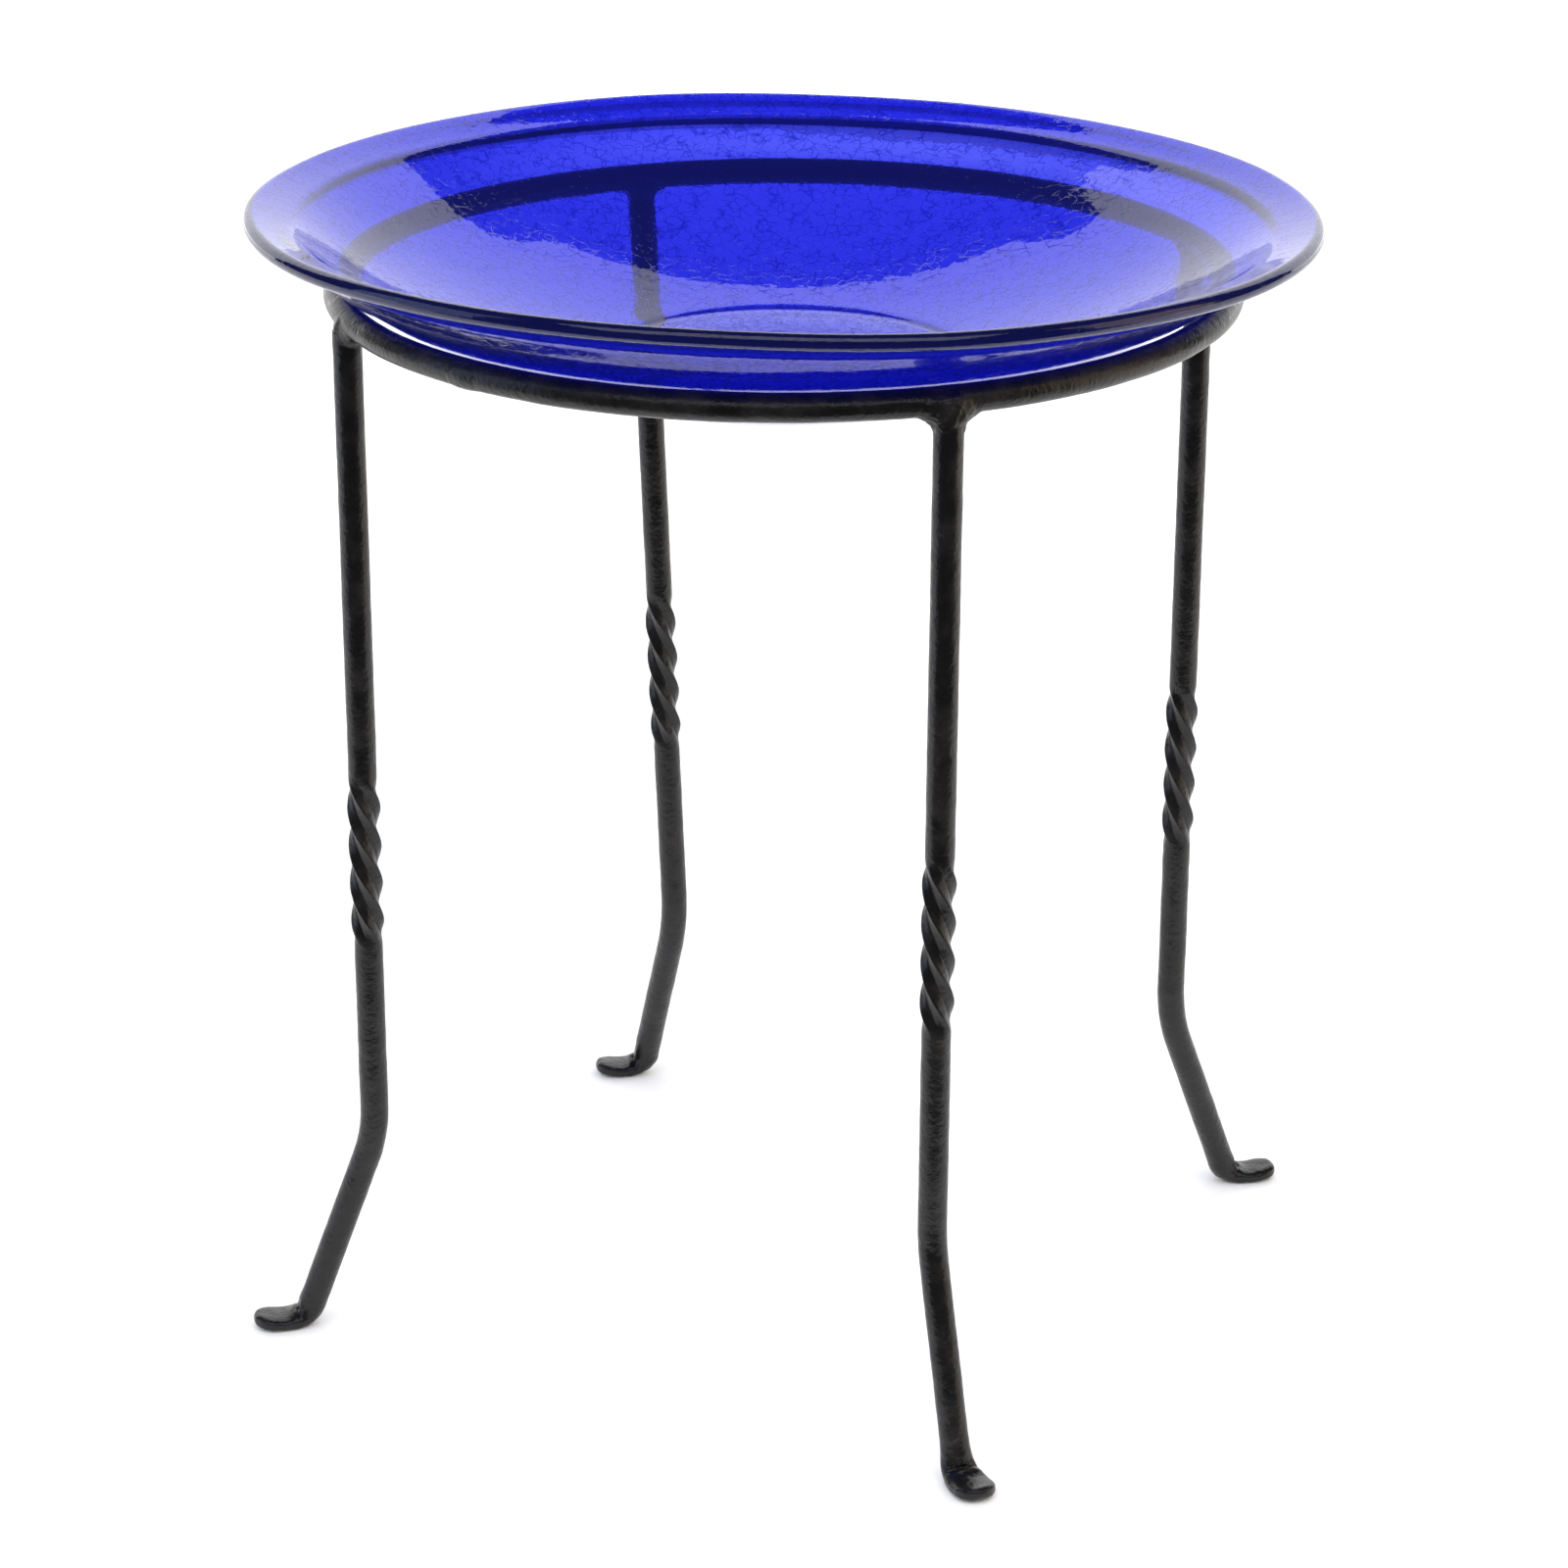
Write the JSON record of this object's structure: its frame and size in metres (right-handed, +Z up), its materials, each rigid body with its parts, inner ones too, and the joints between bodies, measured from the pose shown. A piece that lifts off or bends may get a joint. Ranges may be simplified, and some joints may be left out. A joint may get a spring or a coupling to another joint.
{
  "type": "bird bath",
  "caption": "Shallow round glass bird bath bowl resting loose in a round bar ring stand with straight twisted legs that kick out to flat forged feet.",
  "frame": {"origin": "on the floor, under the centre of the ring and the bowl", "axes": "+Z up; the legs stand on the diagonals of X and Y, and the front is towards -Y"},
  "size_m": [0.3555, 0.3556, 0.3866],
  "materials": {
    "cobalt_glass": "blown cobalt blue glass with a fine crackle, glossy",
    "black_powder_coat": "satin black powder coat over forged steel bar"
  },
  "bodies": {
    "stand": {"top_ring": "black_powder_coat", "ring_weld": "black_powder_coat", "leg_front_right": "black_powder_coat", "leg_front_left": "black_powder_coat", "leg_back_left": "black_powder_coat", "leg_back_right": "black_powder_coat", "leg_weld_front_right": "black_powder_coat", "leg_weld_front_left": "black_powder_coat", "leg_weld_back_left": "black_powder_coat", "leg_weld_back_right": "black_powder_coat"},
    "bowl": {"glass_bowl": "cobalt_glass"}
  },
  "joints": [
    {"name": "bowl_lift", "type": "slide", "parent": "stand", "child": "bowl", "axis": [0, 0, 1], "range_m": [0, 0.08]}
  ]
}
